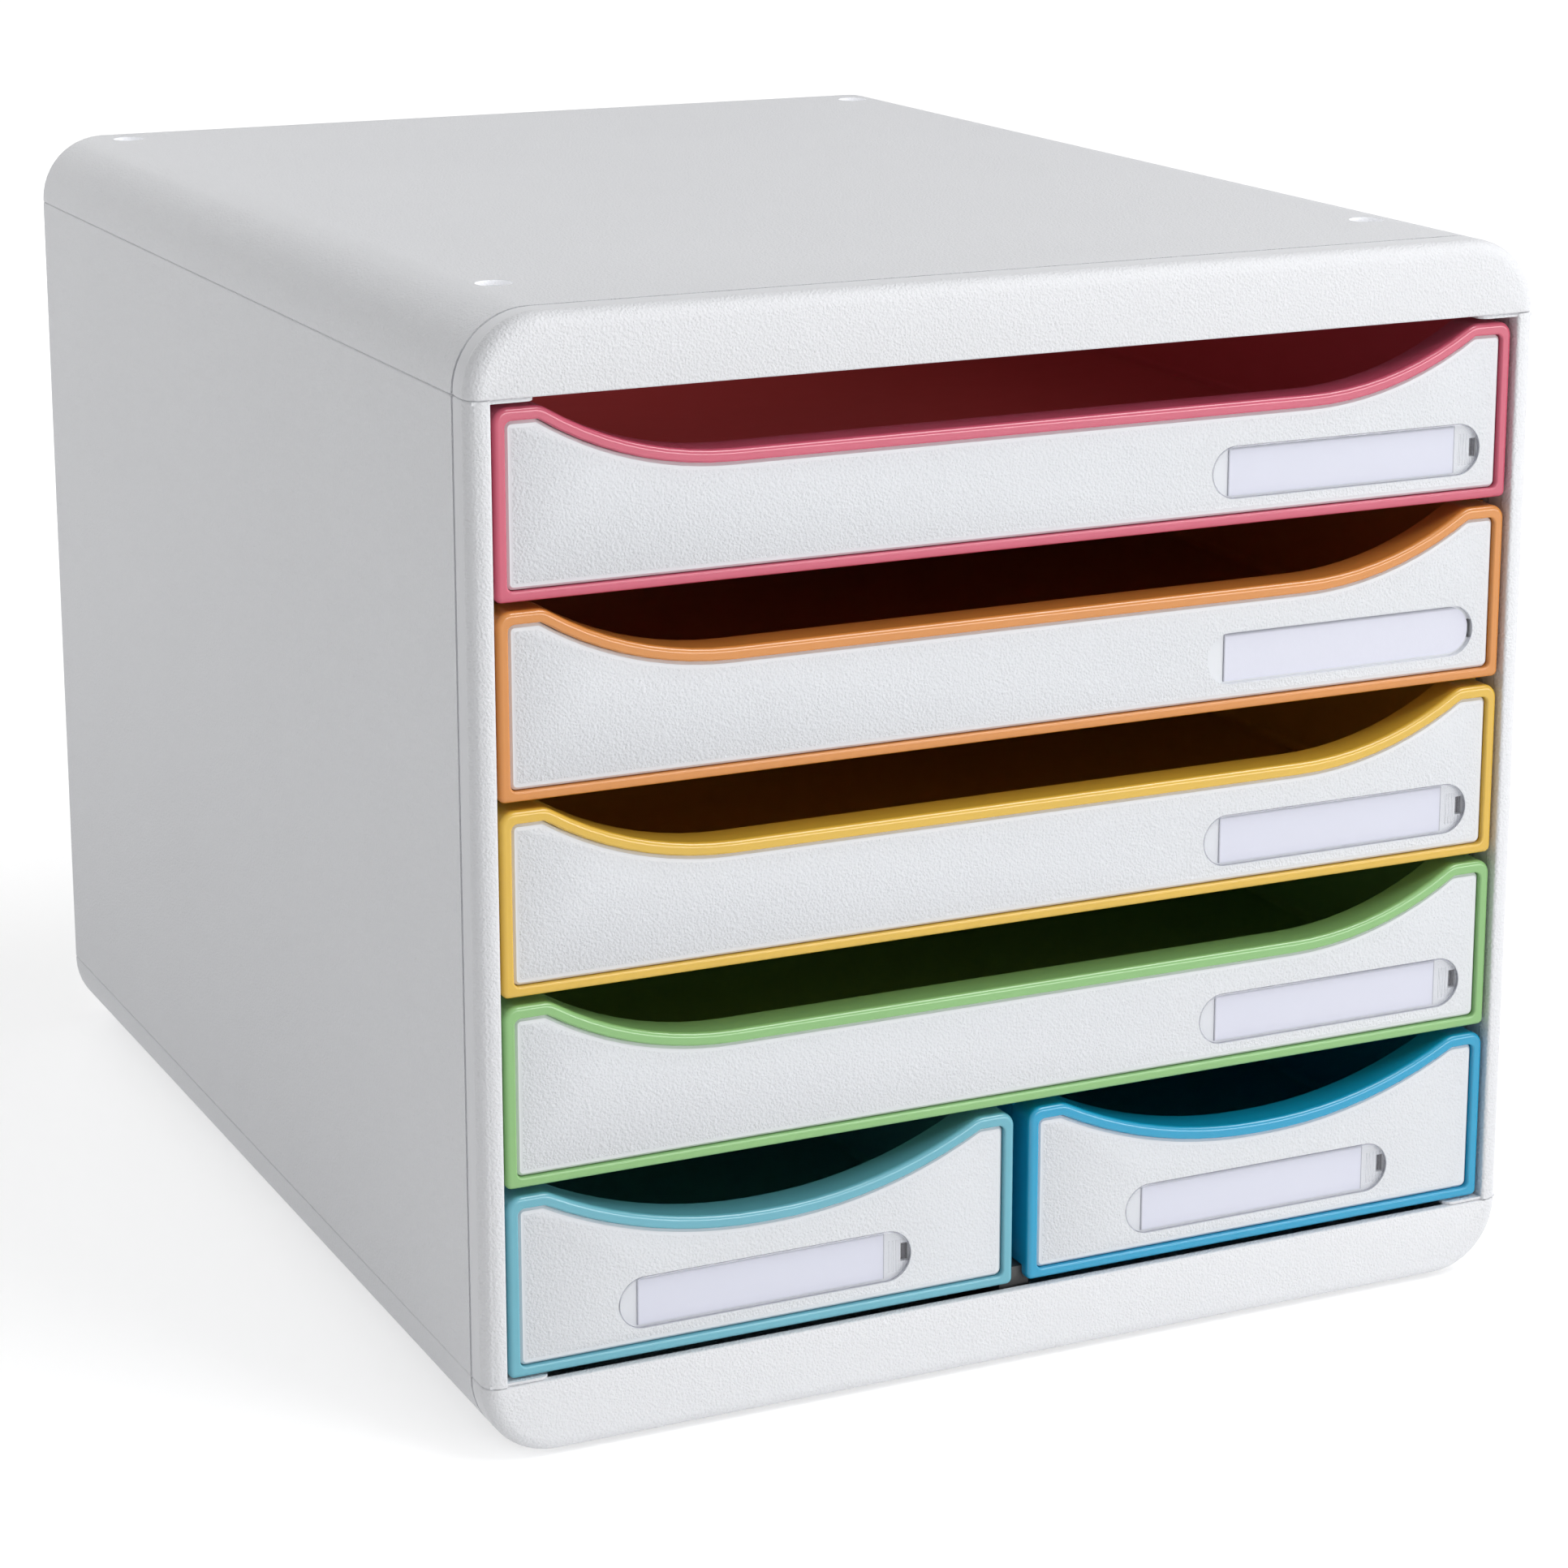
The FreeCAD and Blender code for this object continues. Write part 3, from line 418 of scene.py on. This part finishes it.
for name in TRAYS:
    card = Finish(f"{name}_label_paper", 0.85)
    place = card.place()
    low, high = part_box(f"{name}_label_card")
    across = card.axis(place, "X")
    # Painted shadow: the card darkens towards its top edge and its two ends.
    top = card.axis(place, "Z").ramp(high.z - TOP_SHADOW, high.z)
    ends = 1 - across.ramp(low.x, low.x + LEFT_SHADOW) + across.ramp(high.x - RIGHT_SHADOW, high.x)
    paper = card.mix(card.noise(place, scale=900.0), PAPER_WHITE, PAPER_SHADE)
    card.feed("Base Color", card.mix(top.math("MAXIMUM", top, ends), paper, EDGE_SHADE))
    card.bump(card.noise(place, scale=4000.0), distance=0.00002)
    card.dress(f"{name}_label_card")

# Clear label covers
# Each window but the orange drawer's is closed by a clear snap-in cover with grip ribs at its right end. Its
# face is nearly unseen, and its edges and ribs are painted a half-opaque grey, painted shade that draws them
# as lines.
CLEAR_EDGE_PAINTED_SHADE = (0.42, 0.43, 0.50, 1)
CLEAR_FACE = (0.90, 0.92, 1.0, 1)
EDGE_ALPHA = 0.5
FACE_ALPHA = 0.06

clear = Finish("label_clear_plastic", 0.12, Coat_Weight=0.5, Coat_Roughness=0.05)
flat = abs(clear.facing("Y")).ramp(0.85, 0.97)
# Painted shade: faces that don't point to the front are grey and half opaque.
clear.feed("Base Color", clear.mix(flat, CLEAR_EDGE_PAINTED_SHADE, CLEAR_FACE))
clear.feed("Alpha", EDGE_ALPHA - (EDGE_ALPHA - FACE_ALPHA) * flat)
for name in TRAYS:
    if name != "orange":
        clear.dress(f"{name}_label_cover")

# Studio
# A pale floor that fades into a white background. Soft light comes from all round, from a low lamp in front
# and one overhead, both to the right, and from weaker ones at the left and behind.
FLOOR_SIZE = 30
FLOOR_LIT = (0.92, 0.92, 0.92, 1)
FLOOR_SEEN = (0.97, 0.97, 0.97, 1)
GLOW_NEAR = (0.5, 0.5, 0.5, 1)
GLOW_FAR = (0.8, 0.8, 0.8, 1)
GLOW_REACH = (0.5, 1.8)
SKY_LIGHT = 0.27
TOWER_MIDDLE = mathutils.Vector((0, 0, 0.13))

bpy.ops.object.select_all(action="DESELECT")
bpy.ops.mesh.primitive_plane_add(size=FLOOR_SIZE, location=(0, 0, 0))
floor = bpy.context.object
floor.name = "floor"
ground = Finish("studio_floor", 0.9, Specular_IOR_Level=0.1, Emission_Strength=1)
seen = ground.background_rays()
ground.feed("Base Color", ground.mix(seen, FLOOR_LIT, FLOOR_SEEN))
reach = ground.node("ShaderNodeVectorMath", {"operation": "LENGTH"}, {0: ground.place()}, "Value")
glow = ground.mix(reach.ramp(*GLOW_REACH), GLOW_NEAR, GLOW_FAR)
ground.feed("Emission Color", ground.mix(seen, BLACK, glow))
floor.data.materials.append(ground.material)

world = bpy.data.worlds.new("studio")
world.use_nodes = True
bpy.context.scene.world = world
sky = Tree(world.node_tree)
strength = SKY_LIGHT + (1 - SKY_LIGHT) * sky.background_rays()
background = world.node_tree.nodes["Background"]
background.inputs["Color"].default_value = (1, 1, 1, 1)
world.node_tree.links.new(strength.socket, background.inputs["Strength"])


def lamp(name, place, width, height, watts):
    """An oblong area lamp that faces the middle of the tower."""
    light = bpy.data.lights.new(name, "AREA")
    light.shape = "RECTANGLE"
    light.size = width
    light.size_y = height
    light.energy = watts
    made = bpy.data.objects.new(name, light)
    made.location = place
    aim = TOWER_MIDDLE - made.location
    made.rotation_euler = aim.to_track_quat("-Z", "Y").to_euler()
    bpy.context.scene.collection.objects.link(made)


lamp("low_front", (0.8, -1.76, 0.36), 1.6, 0.25, 13.4)
lamp("overhead", (0.8, -0.7, 1.6), 1.6, 0.4, 16.5)
lamp("left", (-1.7, 0.6, 0.4), 1.4, 0.6, 4.8)
lamp("back", (-0.3, 1.9, 0.8), 1.4, 1.0, 4.5)
